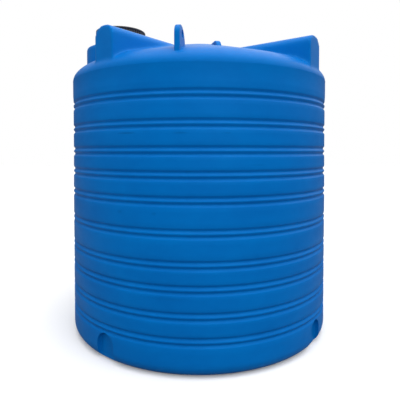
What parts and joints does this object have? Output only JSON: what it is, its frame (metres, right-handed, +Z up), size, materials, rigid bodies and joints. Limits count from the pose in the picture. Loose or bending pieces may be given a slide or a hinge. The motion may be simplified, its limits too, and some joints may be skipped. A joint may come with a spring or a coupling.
{
  "type": "vertical farm water storage tank",
  "caption": "Tall round ribbed plastic water tank with an offset screw lid, raised radial turrets, lifting eyes, float-valve inlet, overflow, ball-valve outlet and drain plug.",
  "frame": {"origin": "centre of the flat floor, at the level the tank stands on", "axes": "+Z up along the tank axis; -Y is the front, between the two blank turrets; the manway is on the -X side"},
  "size_m": [2.314, 2.314, 2.712],
  "materials": {
    "tank_blue": "rotomoulded polyethylene, satin",
    "lid_black": "moulded polypropylene, satin",
    "seal_rubber": "matt rubber",
    "fitting_black": "moulded polypropylene",
    "valve_grey": "PVC-U, satin",
    "seat_white": "PTFE or nylon",
    "handle_red": "moulded ABS",
    "brass": "cast and turned",
    "steel": "stainless",
    "float_orange": "blow-moulded polyethylene"
  },
  "bodies": {
    "tank": {"tank_shell": "tank_blue", "outlet_body": "fitting_black", "outlet_inner_gasket": "seal_rubber", "outlet_outer_gasket": "seal_rubber", "outlet_nut": "fitting_black", "valve_body": "valve_grey", "valve_seats": "seat_white", "stem_seal": "seal_rubber", "valve_gland": "fitting_black", "union_nut": "valve_grey", "outlet_tail": "valve_grey", "tail_seal": "seal_rubber", "drain_body": "fitting_black", "drain_gaskets": "seal_rubber", "drain_nut": "fitting_black", "inlet_body": "brass", "inlet_nuts": "brass", "inlet_gasket": "seal_rubber", "inlet_nozzle": "seat_white", "pivot_pin": "steel", "overflow_body": "fitting_black", "overflow_gasket": "seal_rubber", "overflow_nut": "fitting_black", "overflow_elbow": "fitting_black", "overflow_screen": "steel"},
    "lid_ring": {"lid_gasket": "seal_rubber"},
    "lid": {"manway_lid": "lid_black", "breather_body": "lid_black", "breather_nut": "lid_black", "breather_screen": "steel", "breather_cap": "lid_black"},
    "breather_flap": {"breather_disc": "seal_rubber"},
    "handle": {"valve_handle": "handle_red", "valve_stem": "valve_grey", "valve_ball": "valve_grey", "handle_screw": "steel"},
    "plug": {"drain_plug": "fitting_black", "drain_plug_seal": "seal_rubber"},
    "float": {"float_rod": "brass", "float_ball": "float_orange", "float_nut": "brass"},
    "plunger": {"inlet_plunger": "brass", "plunger_washer": "seal_rubber"}
  },
  "joints": [
    {"name": "lid_lift", "type": "slide", "parent": "tank", "child": "lid_ring", "axis": [0, 0, 1], "range_m": [0, 0.3]},
    {"name": "lid_turn", "type": "hinge", "parent": "lid_ring", "child": "lid", "pos_m": [-0.7297, -0.09607, 2.67], "axis": [0, 0, 1], "continuous": true},
    {"name": "breather_lift", "type": "slide", "parent": "lid", "child": "breather_flap", "axis": [0, 0, 1], "range_m": [0, 0.005]},
    {"name": "handle_turn", "type": "hinge", "parent": "tank", "child": "handle", "pos_m": [-0.96234, 0.73843, 0.105], "axis": [0, 0, 1], "range_deg": [0, 90]},
    {"name": "plug_pull", "type": "slide", "parent": "tank", "child": "plug", "axis": [0.6088, 0.7934, 0], "range_m": [0, 0.06]},
    {"name": "float_swing", "type": "hinge", "parent": "tank", "child": "float", "pos_m": [0.63129, 0.82271, 2.41], "axis": [-0.7934, 0.6088, 0], "range_deg": [0, 30]},
    {"name": "plunger_push", "type": "slide", "parent": "tank", "child": "plunger", "axis": [0.6088, 0.7934, 0], "range_m": [0, 0.0088]}
  ],
  "couplings": [
    {"joint": "plunger_push", "follows": "float_swing", "m_per_rad": 0.0168}
  ]
}
